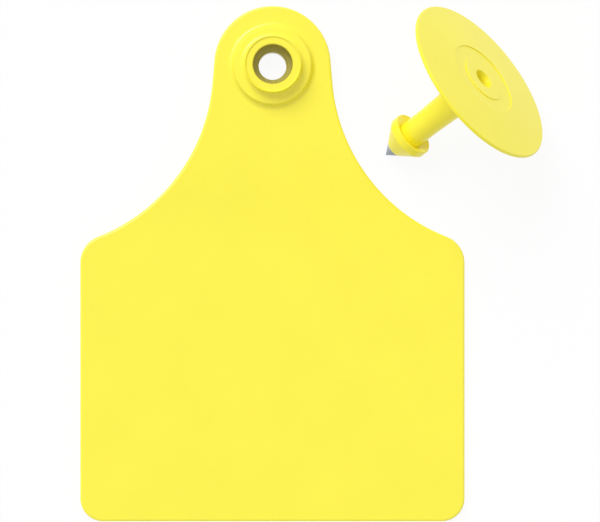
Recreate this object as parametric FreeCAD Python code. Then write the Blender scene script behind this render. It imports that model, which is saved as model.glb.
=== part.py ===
"""Two-piece livestock ear tag, shown with its two pieces apart.

The panel is a soft moulded plate whose collar holds a hard locking ring. The button is a disk with
a hollow stem that ends in a cone-shaped barb on a metal point. Its point pierces the ear, and the
barb snaps through the collar's mouth and seats on the ring. Here the panel lies on its ear face
with the collar up, and the button lies beside the neck, on its disk's rim and the barb's shoulder.

Millimetres. +Z is up out of the collar, +Y runs to the top of the tag, and the origin is on the
stud hole's axis, in the plane of the ear face.
"""
import FreeCAD, Part
import math
import os
from collections import namedtuple

V = FreeCAD.Vector

# Panel outline, seen from the front
PANEL_WIDTH = 76.0
PANEL_HEIGHT = 101.8        # top of the neck to the bottom edge
NECK_RADIUS = 11.5          # the round that ends the neck
NECK_RISE = 0.4             # the round's centre above the stud hole
NECK_FLARE = 4.8            # degrees that each flank leans outward
NECK_FLANK = 4.7            # straight part of each flank
SHOULDER_SWEEP = 35.7       # hollow curve from the flank to the shoulder
SHOULDER_CORNER = 5.5
BOTTOM_CORNER = 4.5

# Panel thickness, from the stiff neck down to the thin blade
NECK_THICKNESS = 2.1
BLADE_THICKNESS = 1.5
TAPER_START = 15.0          # below the stud hole
TAPER_LENGTH = 22.0
FRONT_EDGE = 0.5            # rounding of the edge on the collar's side
BACK_EDGE = 0.2             # chamfer of the edge on the ear's side

# Button: a thin disk, flat below, with a sunk band round the centre and a face that falls to the rim
DISK_DIAMETER = 34.6
DISK_CENTRE = 1.3           # thickness
DISK_RIM = 0.7
RIM_EDGE = 0.2              # chamfers
BAND_INNER = 9.5            # diameters
BAND_OUTER = 15.4
BAND_DEPTH = 0.15

# Button stem and barb
BUTTON_LENGTH = 26.5        # outer face to the metal point
STEM_DIAMETER = 5.4
ROOT_DIAMETER = 6.4
ROOT_FLARE = 13.0           # length over which the root narrows to the stem
ROOT_GUSSET = 1.0           # short cone that carries the root into the disk
BARB_DIAMETER = 9.0
BARB_LENGTH = 7.7           # barb's edge to the metal point
BARB_LAND = 1.6             # straight band behind the cone
BARB_HOLLOW = 0.9           # depth of the dished back of the barb
BARB_EDGE = 0.15            # chamfer of the edge that locks

# Bore for the applicator's pin, and the metal point that the pin pushes on
BORE_DIAMETER = 3.0
BORE_MOUTH = 4.1
BORE_FUNNEL = 2.6           # depth over which the mouth narrows to the bore
TIP_LENGTH = 2.5            # bare metal cone
SHANK_DIAMETER = 2.4
SHANK_LENGTH = 5.1
WAIST_DIAMETER = 1.7        # groove that keys the shank into the plastic
WAIST_LENGTH = 1.4

# Collar, built outward from what passes through it
STEM_PLAY = 0.05            # stem to stud hole, each side
BARB_PLAY = 0.1             # barb to cavity, each side
MOUTH_SNAP = 0.6            # how far the mouth's lip hooks over the barb's edge
LIP_PLAY = 0.05             # cone to lip, once the barb is seated
RING_SKIN = 0.9             # soft skin between the ear face and the ring
RING_HEIGHT = 1.7
RING_HOLD = 0.4             # how far the cavity's wall covers the ring's edge
RING_CHAMFER = 0.3
HOLE_LEAD = 0.3             # chamfer of the stud hole on the ear face
BOSS_WALL = 0.9             # round the cavity
BOSS_HEIGHT = 2.4           # above the flange
BOSS_FILLET = 0.9
FLANGE_STEP = 2.15          # flange beyond the boss
FLANGE_HEIGHT = 1.3         # above the neck
FLANGE_FILLET = 1.0
FLANGE_EDGE = 0.2           # chamfer
BEAD_WIDTH = 0.35           # fine raised bead round the top of the boss
BEAD_HEIGHT = 0.25
MOUTH_EDGE = 0.15

# How the button lies
BUTTON_HEADING = 37.4       # degrees from +X that the disk's outer face looks, seen from above
POINT_BELOW_HOLE = 17.4
POINT_OFF_FLANK = 6.4       # metal point to the panel's edge, along X

# Worked out from the sizes above
disk_r = DISK_DIAMETER / 2
stem_r = STEM_DIAMETER / 2
barb_r = BARB_DIAMETER / 2
hole_r = stem_r + STEM_PLAY
cavity_r = barb_r + BARB_PLAY
mouth_r = barb_r - MOUTH_SNAP
ring_r = cavity_r + RING_HOLD
boss_r = cavity_r + BOSS_WALL
flange_r = boss_r + FLANGE_STEP
cone_length = BARB_LENGTH - BARB_LAND
cone_angle = math.atan2(barb_r, cone_length)
ring_top = RING_SKIN + RING_HEIGHT
flange_top = NECK_THICKNESS + FLANGE_HEIGHT
boss_top = flange_top + BOSS_HEIGHT
lip_bottom = ring_top + BARB_LAND + (MOUTH_SNAP + LIP_PLAY) / math.tan(cone_angle)
bore_depth = BUTTON_LENGTH - TIP_LENGTH - SHANK_LENGTH


Corner = namedtuple("Corner", "r z rounding", defaults=(0,))


def arc(a, middle, b):
    return Part.Arc(a, middle, b).toShape()


def turn(*corners):
    """Revolve a closed section about Z. A corner has its radius and height, and may have a rounding."""
    corners = [Corner(*c) for c in corners]
    points = [V(c.r, 0, c.z) for c in corners]
    edges, starts, ends = [], [], []
    for i, (here, corner) in enumerate(zip(points, corners)):
        start = end = here
        if corner.rounding:
            back = (points[i - 1] - here).normalize()
            on = (points[(i + 1) % len(points)] - here).normalize()
            half = back.getAngle(on) / 2
            reach = corner.rounding / math.tan(half)
            nearest = corner.rounding / math.sin(half) - corner.rounding
            start, end = here + back * reach, here + on * reach
            edges.append(arc(start, here + (back + on).normalize() * nearest, end))
        starts.append(start)
        ends.append(end)
    for here, there in zip(ends, starts[1:] + starts[:1]):
        if (there - here).Length > 1e-6:
            edges.append(Part.makeLine(here, there))
    section = Part.Wire(Part.__sortEdges__(edges))
    return Part.Face(section).revolve(V(0, 0, 0), V(0, 0, 1), 360)


# Panel -------------------------------------------------------------------------------------------

def flank_geometry():
    """Tangent points and centres of the right-hand side, measured from the neck round's centre."""
    lean = math.radians(NECK_FLARE)
    out, up = V(math.cos(lean), math.sin(lean), 0), V(-math.sin(lean), math.cos(lean), 0)
    round_end = out * NECK_RADIUS
    flank_end = round_end - up * NECK_FLANK
    sweep_centre = flank_end + out * SHOULDER_SWEEP
    corner_x = PANEL_WIDTH / 2 - SHOULDER_CORNER
    reach = SHOULDER_SWEEP + SHOULDER_CORNER
    swing = math.acos((sweep_centre.x - corner_x) / reach)
    toward = V(-math.cos(swing), -math.sin(swing), 0)
    sweep_end = sweep_centre + toward * SHOULDER_SWEEP
    corner_centre = sweep_centre + toward * reach
    return lean, swing, round_end, flank_end, sweep_centre, sweep_end, corner_centre


def flank_x(below_hole):
    """Half width of the panel where the hollow curve passes a given distance below the stud hole."""
    centre = flank_geometry()[4] + V(0, NECK_RISE, 0)
    return centre.x - math.sqrt(SHOULDER_SWEEP ** 2 - (centre.y + below_hole) ** 2)


def panel_outline():
    lean, swing, round_end, flank_end, sweep_centre, sweep_end, corner_centre = flank_geometry()
    middle_swing = (swing + lean) / 2
    sweep_middle = sweep_centre - V(math.cos(middle_swing), math.sin(middle_swing), 0) * SHOULDER_SWEEP
    side_top = corner_centre + V(SHOULDER_CORNER, 0, 0)
    half_swing = swing / 2
    corner_middle = corner_centre + V(math.cos(half_swing), math.sin(half_swing), 0) * SHOULDER_CORNER
    bottom = NECK_RADIUS - PANEL_HEIGHT
    side_bottom = V(PANEL_WIDTH / 2, bottom + BOTTOM_CORNER, 0)
    bottom_end = V(PANEL_WIDTH / 2 - BOTTOM_CORNER, bottom, 0)
    bottom_middle = V(bottom_end.x, side_bottom.y, 0) + V(1, -1, 0).normalize() * BOTTOM_CORNER
    right = [
        Part.makeLine(round_end, flank_end),
        arc(flank_end, sweep_middle, sweep_end),
        arc(sweep_end, corner_middle, side_top),
        Part.makeLine(side_top, side_bottom),
        arc(side_bottom, bottom_middle, bottom_end),
    ]
    left = [edge.mirror(V(0, 0, 0), V(1, 0, 0)) for edge in right]
    mirrored = lambda point: V(-point.x, point.y, point.z)
    top = arc(mirrored(round_end), V(0, NECK_RADIUS, 0), round_end)
    foot = Part.makeLine(bottom_end, mirrored(bottom_end))
    wire = Part.Wire(Part.__sortEdges__([top, foot] + right + left))
    wire.translate(V(0, NECK_RISE, 0))
    return wire


def thickness_section():
    """Side view of the plate: full at the neck, eased down to the blade by two tangent arcs."""
    top = NECK_RISE + NECK_RADIUS + 1
    bottom = NECK_RISE + NECK_RADIUS - PANEL_HEIGHT - 1
    start, end = -TAPER_START, -TAPER_START - TAPER_LENGTH
    drop = NECK_THICKNESS - BLADE_THICKNESS
    middle = V(0, (start + end) / 2, NECK_THICKNESS - drop / 2)
    bend = (TAPER_LENGTH ** 2 + drop ** 2) / (4 * drop)
    sag = bend - math.sqrt(bend ** 2 - (TAPER_LENGTH / 4) ** 2)
    upper = V(0, start - TAPER_LENGTH / 4, NECK_THICKNESS - sag)
    lower = V(0, end + TAPER_LENGTH / 4, BLADE_THICKNESS + sag)
    edges = [
        Part.makeLine(V(0, bottom, 0), V(0, top, 0)),
        Part.makeLine(V(0, top, 0), V(0, top, NECK_THICKNESS)),
        Part.makeLine(V(0, top, NECK_THICKNESS), V(0, start, NECK_THICKNESS)),
        arc(V(0, start, NECK_THICKNESS), upper, middle),
        arc(middle, lower, V(0, end, BLADE_THICKNESS)),
        Part.makeLine(V(0, end, BLADE_THICKNESS), V(0, bottom, BLADE_THICKNESS)),
        Part.makeLine(V(0, bottom, BLADE_THICKNESS), V(0, bottom, 0)),
    ]
    return Part.Face(Part.Wire(edges))


def plate():
    outline = panel_outline()
    blank = Part.Face(outline).extrude(V(0, 0, NECK_THICKNESS + 1))
    section = thickness_section()
    section.translate(V(-PANEL_WIDTH, 0, 0))
    body = blank.common(section.extrude(V(2 * PANEL_WIDTH, 0, 0)))
    front = [e for e in body.Edges if e.BoundBox.ZMin > BLADE_THICKNESS / 2 and on_outline(e, outline)]
    body = body.makeFillet(min(FRONT_EDGE, 0.6 * BLADE_THICKNESS), front)
    back = [e for e in body.Edges if e.BoundBox.ZMax < BLADE_THICKNESS / 4]
    return body.makeChamfer(min(BACK_EDGE, 0.3 * BLADE_THICKNESS), back)


def on_outline(edge, outline):
    middle = edge.valueAt((edge.FirstParameter + edge.LastParameter) / 2)
    return outline.distToShape(Part.Vertex(middle.x, middle.y, 0))[0] < 1e-4


def collar():
    """Outside of the collar: a flange eased into the neck, and a boss with a fine bead round its top."""
    face = boss_top - BEAD_HEIGHT
    foot = NECK_THICKNESS / 2
    return turn(
        (0, foot),
        (flange_r + FLANGE_FILLET, foot),
        (flange_r + FLANGE_FILLET, NECK_THICKNESS),
        (flange_r, NECK_THICKNESS, FLANGE_FILLET),
        (flange_r, flange_top - FLANGE_EDGE),
        (flange_r - FLANGE_EDGE, flange_top),
        (boss_r, flange_top, BOSS_FILLET),
        (boss_r, boss_top),
        (boss_r - BEAD_WIDTH / 3, boss_top),
        (boss_r - BEAD_WIDTH, face),
        (0, face),
    )


def collar_core():
    """All that is open inside the collar and its ring's seat, from the ear face up through the mouth."""
    face = boss_top - BEAD_HEIGHT
    return turn(
        (0, -1),
        (hole_r + HOLE_LEAD + 1, -1),
        (hole_r, HOLE_LEAD),
        (hole_r, RING_SKIN),
        (ring_r, RING_SKIN),
        (ring_r, ring_top),
        (cavity_r, ring_top),
        (cavity_r, lip_bottom),
        (mouth_r, lip_bottom),
        (mouth_r, face - MOUTH_EDGE),
        (mouth_r + MOUTH_EDGE + 1, face + 1),
        (0, face + 1),
    )


def locking_ring():
    return turn(
        (hole_r, RING_SKIN),
        (ring_r, RING_SKIN),
        (ring_r, ring_top),
        (hole_r + RING_CHAMFER, ring_top),
        (hole_r, ring_top - RING_CHAMFER),
    )


# Button, with its outer face's centre at the origin and its axis up out of that face ---------------

root_r = ROOT_DIAMETER / 2
rim_top = DISK_RIM - DISK_CENTRE
edge_z = BARB_LENGTH - BUTTON_LENGTH
land_z = edge_z - BARB_LAND
tip_base_r = TIP_LENGTH * math.tan(cone_angle)
tip_base_z = TIP_LENGTH - BUTTON_LENGTH

def shank():
    """Corners of the metal shank from its end to the cone's base, with the waist between."""
    r, waist_r, top = SHANK_DIAMETER / 2, WAIST_DIAMETER / 2, -bore_depth
    waist_top = top - (SHANK_LENGTH - WAIST_LENGTH) / 2
    return [
        (r, top),
        (r, waist_top),
        (waist_r, waist_top),
        (waist_r, waist_top - WAIST_LENGTH),
        (r, waist_top - WAIST_LENGTH),
        (r, tip_base_z),
    ]


def metal_tip():
    return turn((0, -bore_depth), *shank(), (tip_base_r, tip_base_z), (0, -BUTTON_LENGTH))


def stud_button():
    """Disk, stem and barb in one moulding, hollow for the pin and closed onto the metal shank."""
    inner, outer, rim = BAND_INNER / 2, BAND_OUTER / 2, disk_r - RIM_EDGE
    return turn(
        (BORE_MOUTH / 2, 0),
        (inner, 0),
        (inner, -BAND_DEPTH),
        (outer, -BAND_DEPTH),
        (outer, 0),
        (rim, rim_top),
        (disk_r, rim_top - RIM_EDGE),
        (disk_r, RIM_EDGE - DISK_CENTRE),
        (rim, -DISK_CENTRE),
        (root_r + ROOT_GUSSET, -DISK_CENTRE),
        (root_r, -DISK_CENTRE - ROOT_GUSSET),
        (stem_r, -DISK_CENTRE - ROOT_FLARE),
        (stem_r, edge_z - BARB_HOLLOW),
        (barb_r - BARB_EDGE, edge_z),
        (barb_r, edge_z - BARB_EDGE),
        (barb_r, land_z),
        (tip_base_r, tip_base_z),
        *reversed(shank()),
        (BORE_DIAMETER / 2, -bore_depth),
        (BORE_DIAMETER / 2, -BORE_FUNNEL),
    )


def resting_place():
    """Lay the button on its disk's rim and the barb's shoulder, with its point toward the neck."""
    tilt = math.atan2(disk_r - barb_r, RIM_EDGE - DISK_CENTRE - land_z)
    height = barb_r * math.cos(tilt) - land_z * math.sin(tilt)
    heading = math.radians(BUTTON_HEADING)
    run = BUTTON_LENGTH * math.cos(tilt)
    x = flank_x(POINT_BELOW_HOLE) + POINT_OFF_FLANK + run * math.cos(heading)
    y = -POINT_BELOW_HOLE + run * math.sin(heading)
    turn_down = FreeCAD.Rotation(V(0, 1, 0), 90 - math.degrees(tilt))
    face_heading = FreeCAD.Rotation(V(0, 0, 1), BUTTON_HEADING)
    return FreeCAD.Placement(V(x, y, height), face_heading.multiply(turn_down))


def build():
    button, tip = stud_button(), metal_tip()
    tip.Placement = button.Placement = resting_place()
    return {
        "tag_panel": plate().fuse(collar()).cut(collar_core()),
        "locking_ring": locking_ring(),
        "stud_button": button,
        "metal_tip": tip,
    }


os.makedirs("parts", exist_ok=True)
for name, shape in build().items():
    solid = shape.Solids[0] if shape.Solids else shape
    solid.exportStep(f"parts/{name}.step")
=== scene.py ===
"""Finishes and studio for a livestock ear tag, shown with its two pieces apart."""
import math

import bpy
from bpy.props import FloatProperty, FloatVectorProperty, PointerProperty
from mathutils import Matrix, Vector


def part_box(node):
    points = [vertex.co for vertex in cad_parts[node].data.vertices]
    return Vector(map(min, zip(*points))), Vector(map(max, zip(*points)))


bl_info = {
    "name": "Livestock Ear Tag",
    "version": (1, 0, 0),
    "blender": (4, 5, 0),
    "location": "View3D > Sidebar > Ear Tag",
    "description": "Finishes and studio for a livestock ear tag with a locking collar "
                   "and a barbed button",
    "category": "Object",
}

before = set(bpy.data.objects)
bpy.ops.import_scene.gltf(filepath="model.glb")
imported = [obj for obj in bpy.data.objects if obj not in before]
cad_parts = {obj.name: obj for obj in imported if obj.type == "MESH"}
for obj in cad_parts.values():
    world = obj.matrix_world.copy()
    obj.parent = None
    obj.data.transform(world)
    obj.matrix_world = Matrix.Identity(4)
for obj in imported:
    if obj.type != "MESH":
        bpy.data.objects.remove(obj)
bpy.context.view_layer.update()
MM = 0.001

# Plastic
NOISE_SPAN = (0.3, 0.7)         # where nearly all of a noise texture's values lie
MOTTLE_SHADES = (0.985, 1.01)   # darkest and palest mottling
EDGE_RUB_AND_HIGHLIGHT_SHADE = 1.06             # a rubbed edge with a painted highlight on it
EDGE_RUB_AND_HIGHLIGHT_SHARE = 0.25             # how far such an edge goes toward that shade
EDGE_RUB_AND_HIGHLIGHT_WIDTH = 0.4 * MM
EDGE_RUB_AND_HIGHLIGHT_GAIN = 2.5
EDGE_RUB_AND_HIGHLIGHT_PATCHES = 260.0             # scale of the patches of rubbing and painted edge highlight
BEVEL_SAMPLES = 4
ROUGHNESS_SPREAD = 0.04         # to either side of a plastic's own roughness
GRAIN_HEIGHT = 0.02 * MM
RING_GRAIN = 0.7                # share of the panel's grain
BUTTON_GRAIN = 0.8
COAT_WEIGHT = 0.4
COAT_ROUGHNESS = 0.3

# Metal point, whose colour carries painted shade and a painted highlight
POINT_PAINTED_SHADE_AND_HIGHLIGHT = (0.25, 1.15)   # painted shade on the side away from the key light, painted highlight on the side toward it
POINT_PAINTED_LIGHT_FADE = 2 * MM           # from the middle of the point to full painted shade or full painted highlight
# The side that the key light falls on: the point's colour is painted lighter there and darker on
# the opposite side.
POINT_PAINTED_LIT_SIDE = Vector((-0.5, 0.86, 0.0))
PLATING_ROUGHNESS = (0.2, 0.32)
PLATING_MOTTLE = 420.0

# Floor
FLOOR_WHITE = 0.95
FLOOR_LIFT = 0.92               # how far the floor goes toward pure white where it is seen

# Sockets of a Mix node that blends colours
MIX_A, MIX_B, MIX_RESULT = 6, 7, 2


# Settings ----------------------------------------------------------------------------------------

class EarTagSettings(bpy.types.PropertyGroup):
    panel_colour: FloatVectorProperty(
        name="Panel", description="Soft moulded plastic of the panel and its collar",
        subtype="COLOR", size=3, min=0, max=1, default=(0.985, 0.885, 0.046))
    button_colour: FloatVectorProperty(
        name="Button", description="Firmer moulded plastic of the button",
        subtype="COLOR", size=3, min=0, max=1, default=(0.99, 0.885, 0.03))
    ring_colour: FloatVectorProperty(
        name="Locking ring", description="Hard plastic of the ring inside the collar",
        subtype="COLOR", size=3, min=0, max=1, default=(0.43, 0.38, 0.07))
    metal_colour: FloatVectorProperty(
        name="Metal point", description="Bright plating of the button's point",
        subtype="COLOR", size=3, min=0, max=1, default=(0.5, 0.54, 0.62))
    grain_size: FloatProperty(
        name="Grain", description="Size of the moulded surface's fine grain",
        unit="LENGTH", min=0.0001, default=0.00045)
    floor_size: FloatProperty(
        name="Floor", description="Width of the floor", unit="LENGTH", min=0.1, default=4.0)
    camera_height: FloatProperty(
        name="Camera height", description="Height of the camera above the floor",
        unit="LENGTH", min=0.05, default=0.38)
    view_width: FloatProperty(
        name="View width", description="Width of the floor that the camera sees",
        unit="LENGTH", min=0.05, default=0.119)
    view_centre: FloatVectorProperty(
        name="View centre", description="Middle of the view, on the floor",
        unit="LENGTH", size=2, default=(0.00549, -0.03839))
    camera_offset: FloatVectorProperty(
        name="Camera offset", description="How far the camera stands from the middle of the view",
        unit="LENGTH", size=2, default=(-0.012, -0.009))
    key_strength: FloatProperty(
        name="Key light", description="Strength of the soft key light", min=0, default=1.8)
    key_softness: FloatProperty(
        name="Key softness", description="Angle that the key light spans",
        subtype="ANGLE", min=0, max=math.pi, default=math.radians(40))
    key_direction: FloatVectorProperty(
        name="Key direction", description="Where the key light comes from",
        subtype="DIRECTION", size=3, default=(-0.55, 0.85, 1.0))
    fill_strength: FloatProperty(
        name="Fill light", description="Strength of the even light from all around",
        min=0, default=0.6)


# Shader helpers ----------------------------------------------------------------------------------

def node_group(name, inputs, outputs):
    """A new shader node group with its named sockets, and its input and output nodes."""
    group = bpy.data.node_groups.new(name, "ShaderNodeTree")
    for label, kind, default in inputs:
        socket = group.interface.new_socket(name=label, in_out="INPUT", socket_type=kind)
        if default is not None:
            socket.default_value = default
    for label, kind in outputs:
        group.interface.new_socket(name=label, in_out="OUTPUT", socket_type=kind)
    return group, group.nodes.new("NodeGroupInput"), group.nodes.new("NodeGroupOutput")


def feed(tree, socket, value):
    """Link another node's output to a socket, or set a plain value on it."""
    if isinstance(value, bpy.types.NodeSocket):
        tree.links.new(value, socket)
    else:
        socket.default_value = value


def math_node(tree, operation, a, b, clamp=False):
    node = tree.nodes.new("ShaderNodeMath")
    node.operation = operation
    node.use_clamp = clamp
    feed(tree, node.inputs[0], a)
    feed(tree, node.inputs[1], b)
    return node.outputs[0]


def dot_product(tree, a, b):
    node = tree.nodes.new("ShaderNodeVectorMath")
    node.operation = "DOT_PRODUCT"
    feed(tree, node.inputs[0], a)
    feed(tree, node.inputs[1], b)
    return node.outputs["Value"]


def noise_node(tree, vector, scale, detail=2.0, roughness=0.5):
    node = tree.nodes.new("ShaderNodeTexNoise")
    tree.links.new(vector, node.inputs["Vector"])
    feed(tree, node.inputs["Scale"], scale)
    node.inputs["Detail"].default_value = detail
    node.inputs["Roughness"].default_value = roughness
    return node.outputs["Fac"]


def map_range(tree, value, span, new_span):
    node = tree.nodes.new("ShaderNodeMapRange")
    tree.links.new(value, node.inputs["Value"])
    for label, number in zip(("From Min", "From Max", "To Min", "To Max"), (*span, *new_span)):
        node.inputs[label].default_value = number
    return node.outputs["Result"]


def mix_colour(tree, factor, a, b):
    node = tree.nodes.new("ShaderNodeMix")
    node.data_type = "RGBA"
    tree.links.new(factor, node.inputs["Factor"])
    feed(tree, node.inputs[MIX_A], a)
    feed(tree, node.inputs[MIX_B], b)
    return node.outputs[MIX_RESULT]


def shade(colour, factor):
    """The colour made darker or paler, as an opaque shader colour."""
    return (*(min(1.0, c * factor) for c in colour), 1)


# Shared effects ----------------------------------------------------------------------------------

def moulded_surface_group():
    """Slow mottling of the plastic, and the fine grain that the mould leaves."""
    group, inside, outside = node_group(
        "Moulded Surface",
        [("Vector", "NodeSocketVector", None), ("Mottle Scale", "NodeSocketFloat", 90.0),
         ("Grain Scale", "NodeSocketFloat", 2200.0)],
        [("Mottle", "NodeSocketFloat"), ("Grain", "NodeSocketFloat")])
    vector = inside.outputs["Vector"]
    mottle = noise_node(group, vector, inside.outputs["Mottle Scale"], detail=3.0)
    grain = noise_node(group, vector, inside.outputs["Grain Scale"], roughness=0.6)
    group.links.new(map_range(group, mottle, NOISE_SPAN, (0, 1)), outside.inputs["Mottle"])
    group.links.new(grain, outside.inputs["Grain"])
    return group


def edge_rub_and_highlight_group():
    """Mask of the outer edges, in patches, where the colour is made paler: partly polishing by
    handling, partly a painted edge highlight.
    """
    group, inside, outside = node_group(
        "Edge Rub And Highlight",
        [("Vector", "NodeSocketVector", None), ("Gain", "NodeSocketFloat", 3.0)],
        [("Mask", "NodeSocketFloat")])
    bevel = group.nodes.new("ShaderNodeBevel")
    bevel.samples = BEVEL_SAMPLES
    bevel.inputs["Radius"].default_value = EDGE_RUB_AND_HIGHLIGHT_WIDTH
    geometry = group.nodes.new("ShaderNodeNewGeometry")
    turn = dot_product(group, bevel.outputs["Normal"], geometry.outputs["Normal"])
    edge = math_node(group, "SUBTRACT", 1.0, turn, clamp=True)
    edge = math_node(group, "MULTIPLY", edge, inside.outputs["Gain"], clamp=True)
    patches = noise_node(group, inside.outputs["Vector"], EDGE_RUB_AND_HIGHLIGHT_PATCHES)
    group.links.new(math_node(group, "MULTIPLY", edge, patches), outside.inputs["Mask"])
    return group


def shared(name, make):
    """The node group of that name, made the first time that it is asked for."""
    return bpy.data.node_groups.get(name) or make()


def place_group(tree, group, vector, **values):
    """Put a shared effect into a material, with its values named as its sockets are."""
    node = tree.nodes.new("ShaderNodeGroup")
    node.node_tree = group
    tree.links.new(vector, node.inputs["Vector"])
    for label, value in values.items():
        node.inputs[label.replace("_", " ")].default_value = value
    return node


# Finishes ----------------------------------------------------------------------------------------

def new_material(name):
    material = bpy.data.materials.new(name)
    material.use_nodes = True
    tree = material.node_tree
    return material, tree, tree.nodes["Principled BSDF"]


def moulded_plastic(name, colour, grain_size, roughness, depth=0.3, mottle_scale=90.0):
    """Satin moulded plastic: mottled, finely grained, and paler along its edges, from rubbing and
    from a painted edge highlight.
    """
    material, tree, shader = new_material(name)
    place = tree.nodes.new("ShaderNodeTexCoord").outputs["Object"]
    surface = place_group(tree, shared("Moulded Surface", moulded_surface_group), place,
                          Mottle_Scale=mottle_scale, Grain_Scale=1 / grain_size)
    edge_rub_and_highlight = place_group(tree, shared("Edge Rub And Highlight", edge_rub_and_highlight_group), place, Gain=EDGE_RUB_AND_HIGHLIGHT_GAIN)
    dark, pale = (shade(colour, factor) for factor in MOTTLE_SHADES)
    tone = mix_colour(tree, surface.outputs["Mottle"], dark, pale)
    # Painted edge highlight together with rubbing: the colour goes paler along the outer edges, in
    # patches.
    rubbed_and_highlighted = math_node(tree, "MULTIPLY", edge_rub_and_highlight.outputs["Mask"], EDGE_RUB_AND_HIGHLIGHT_SHARE)
    tree.links.new(mix_colour(tree, rubbed_and_highlighted, tone, shade(colour, EDGE_RUB_AND_HIGHLIGHT_SHADE)),
                   shader.inputs["Base Color"])
    rough = map_range(tree, surface.outputs["Grain"], NOISE_SPAN,
                      (roughness - ROUGHNESS_SPREAD, roughness + ROUGHNESS_SPREAD))
    tree.links.new(rough, shader.inputs["Roughness"])
    shader.inputs["Coat Weight"].default_value = COAT_WEIGHT
    shader.inputs["Coat Roughness"].default_value = COAT_ROUGHNESS
    bump = tree.nodes.new("ShaderNodeBump")
    bump.inputs["Strength"].default_value = depth
    bump.inputs["Distance"].default_value = GRAIN_HEIGHT
    tree.links.new(surface.outputs["Grain"], bump.inputs["Height"])
    tree.links.new(bump.outputs["Normal"], shader.inputs["Normal"])
    return material


def plated_metal_with_painted_light(name, colour):
    """Metal point, with painted shade on the side that faces away from the key light and a painted
    highlight on the side toward it.
    """
    material, tree, shader = new_material(name)
    place = tree.nodes.new("ShaderNodeTexCoord").outputs["Object"]
    surface = place_group(tree, shared("Moulded Surface", moulded_surface_group), place,
                          Mottle_Scale=PLATING_MOTTLE)
    low, high = (Vector(corner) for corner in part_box("metal_tip"))
    middle = POINT_PAINTED_LIT_SIDE.dot((low + high) / 2)
    # Painted shade and painted highlight: the base colour darkens away from the key light's side
    # and lightens toward it.
    tone = map_range(tree, dot_product(tree, place, POINT_PAINTED_LIT_SIDE),
                     (middle - POINT_PAINTED_LIGHT_FADE, middle + POINT_PAINTED_LIGHT_FADE), (0, 1))
    dark, bright = (shade(colour, factor) for factor in POINT_PAINTED_SHADE_AND_HIGHLIGHT)
    tree.links.new(mix_colour(tree, tone, dark, bright), shader.inputs["Base Color"])
    tree.links.new(map_range(tree, surface.outputs["Mottle"], (0, 1), PLATING_ROUGHNESS),
                   shader.inputs["Roughness"])
    shader.inputs["Metallic"].default_value = 1.0
    return material


def give(node, material):
    """Put a finish on the whole of a CAD node."""
    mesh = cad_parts[node].data
    mesh.materials.clear()
    mesh.materials.append(material)


# Pieces ------------------------------------------------------------------------------------------

class EARTAG_OT_panel(bpy.types.Operator):
    """Finish the flexible panel and its collar"""
    bl_idname = "eartag.panel"
    bl_label = "Panel"

    def execute(self, context):
        tag = context.scene.ear_tag
        give("tag_panel", moulded_plastic("Panel Polyurethane", tag.panel_colour,
                                          tag.grain_size, roughness=0.3))
        return {"FINISHED"}


class EARTAG_OT_ring(bpy.types.Operator):
    """Finish the hard locking ring inside the collar"""
    bl_idname = "eartag.ring"
    bl_label = "Locking ring"

    def execute(self, context):
        tag = context.scene.ear_tag
        give("locking_ring", moulded_plastic("Ring Nylon", tag.ring_colour,
                                             tag.grain_size * RING_GRAIN, roughness=0.45,
                                             mottle_scale=300.0))
        return {"FINISHED"}


class EARTAG_OT_button(bpy.types.Operator):
    """Finish the button, its stem and its barb"""
    bl_idname = "eartag.button"
    bl_label = "Button"

    def execute(self, context):
        tag = context.scene.ear_tag
        give("stud_button", moulded_plastic("Button Polyurethane", tag.button_colour,
                                            tag.grain_size * BUTTON_GRAIN, roughness=0.4,
                                            depth=0.12, mottle_scale=140.0))
        return {"FINISHED"}


class EARTAG_OT_point(bpy.types.Operator):
    """Finish the button's metal point"""
    bl_idname = "eartag.point"
    bl_label = "Metal point"

    def execute(self, context):
        give("metal_tip", plated_metal_with_painted_light("Plated Metal With Painted Light", context.scene.ear_tag.metal_colour))
        return {"FINISHED"}


# Stage -------------------------------------------------------------------------------------------

def seen_mask(tree):
    """1 where the camera, a reflection or a view through glass meets the surface."""
    path = tree.nodes.new("ShaderNodeLightPath")
    seen = math_node(tree, "ADD", path.outputs["Is Camera Ray"], path.outputs["Is Glossy Ray"])
    return math_node(tree, "ADD", seen, path.outputs["Is Transmission Ray"], clamp=True)


def floor_material():
    """White sheet that is lifted toward pure white where it is seen, and keeps a soft shadow."""
    material, tree, shader = new_material("White Sheet")
    shader.inputs["Base Color"].default_value = (FLOOR_WHITE, FLOOR_WHITE, FLOOR_WHITE, 1)
    shader.inputs["Roughness"].default_value = 1.0
    shader.inputs["Specular IOR Level"].default_value = 0.0
    glow = tree.nodes.new("ShaderNodeEmission")
    glow.inputs["Strength"].default_value = 1.0
    blend = tree.nodes.new("ShaderNodeMixShader")
    tree.links.new(math_node(tree, "MULTIPLY", seen_mask(tree), FLOOR_LIFT), blend.inputs[0])
    tree.links.new(shader.outputs[0], blend.inputs[1])
    tree.links.new(glow.outputs[0], blend.inputs[2])
    tree.links.new(blend.outputs[0], tree.nodes["Material Output"].inputs["Surface"])
    return material


def white_world(strength):
    """Even light of the given strength, which is plain white where it is seen."""
    world = bpy.data.worlds.new("Even Light")
    world.use_nodes = True
    tree = world.node_tree
    background = tree.nodes["Background"]
    background.inputs["Color"].default_value = (1, 1, 1, 1)
    tree.links.new(map_range(tree, seen_mask(tree), (0, 1), (strength, 1)),
                   background.inputs["Strength"])
    return world


def key_light(strength, softness, direction):
    """Broad lamp that lights the tag from the given direction."""
    lamp = bpy.data.lights.new("Key", "SUN")
    lamp.energy = strength
    lamp.angle = softness
    key = bpy.data.objects.new("Key", lamp)
    key.rotation_euler = Vector(direction).to_track_quat("Z", "Y").to_euler()
    return key


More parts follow.
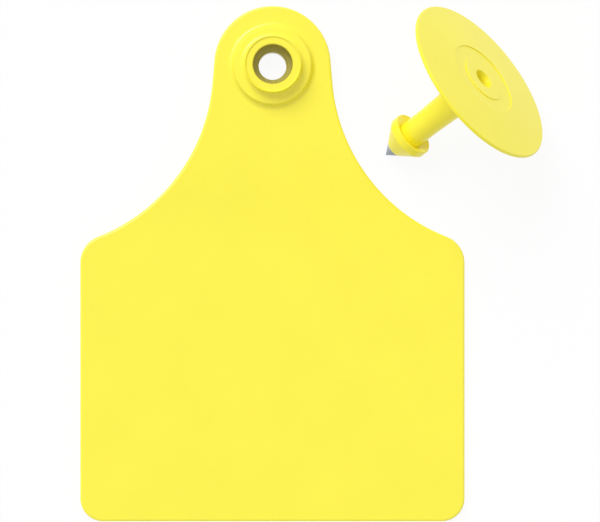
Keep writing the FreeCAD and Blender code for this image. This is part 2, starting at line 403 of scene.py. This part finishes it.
def camera_over(centre, offset, height, view_width):
    """Camera that looks straight down from beside the view's middle, shifted to frame it."""
    lens = bpy.data.cameras.new("Camera")
    lens.lens = lens.sensor_width * height / view_width
    lens.shift_x = -offset[0] / view_width
    lens.shift_y = -offset[1] / view_width
    lens.clip_start = 10 * MM
    camera = bpy.data.objects.new("Camera", lens)
    camera.location = (centre[0] + offset[0], centre[1] + offset[1], height)
    return camera


class EARTAG_OT_stage(bpy.types.Operator):
    """Set the floor, the lights and the camera"""
    bl_idname = "eartag.stage"
    bl_label = "Stage"

    def execute(self, context):
        tag, scene = context.scene.ear_tag, context.scene
        bpy.ops.mesh.primitive_plane_add(size=tag.floor_size)
        floor = context.object
        floor.name = "Floor"
        floor.data.materials.append(floor_material())

        scene.world = white_world(tag.fill_strength)
        scene.collection.objects.link(
            key_light(tag.key_strength, tag.key_softness, tag.key_direction))
        scene.camera = camera_over(tag.view_centre, tag.camera_offset,
                                   tag.camera_height, tag.view_width)
        scene.collection.objects.link(scene.camera)
        scene.view_settings.view_transform = "Standard"
        return {"FINISHED"}


# Sidebar -----------------------------------------------------------------------------------------

class EARTAG_PT_sidebar(bpy.types.Panel):
    bl_label = "Ear Tag"
    bl_idname = "EARTAG_PT_sidebar"
    bl_space_type = "VIEW_3D"
    bl_region_type = "UI"
    bl_category = "Ear Tag"

    def draw(self, context):
        tag, column = context.scene.ear_tag, self.layout.column()
        for operator in OPERATORS:
            column.operator(operator.bl_idname)
        for name in EarTagSettings.__annotations__:
            column.prop(tag, name)


OPERATORS = (EARTAG_OT_panel, EARTAG_OT_ring, EARTAG_OT_button, EARTAG_OT_point, EARTAG_OT_stage)
CLASSES = (EarTagSettings, *OPERATORS, EARTAG_PT_sidebar)


def register():
    for cls in CLASSES:
        bpy.utils.register_class(cls)
    bpy.types.Scene.ear_tag = PointerProperty(type=EarTagSettings)


def unregister():
    del bpy.types.Scene.ear_tag
    for cls in reversed(CLASSES):
        bpy.utils.unregister_class(cls)


def main():
    register()
    bpy.ops.eartag.panel()
    bpy.ops.eartag.ring()
    bpy.ops.eartag.button()
    bpy.ops.eartag.point()
    bpy.ops.eartag.stage()


if __name__ == "__main__":
    main()
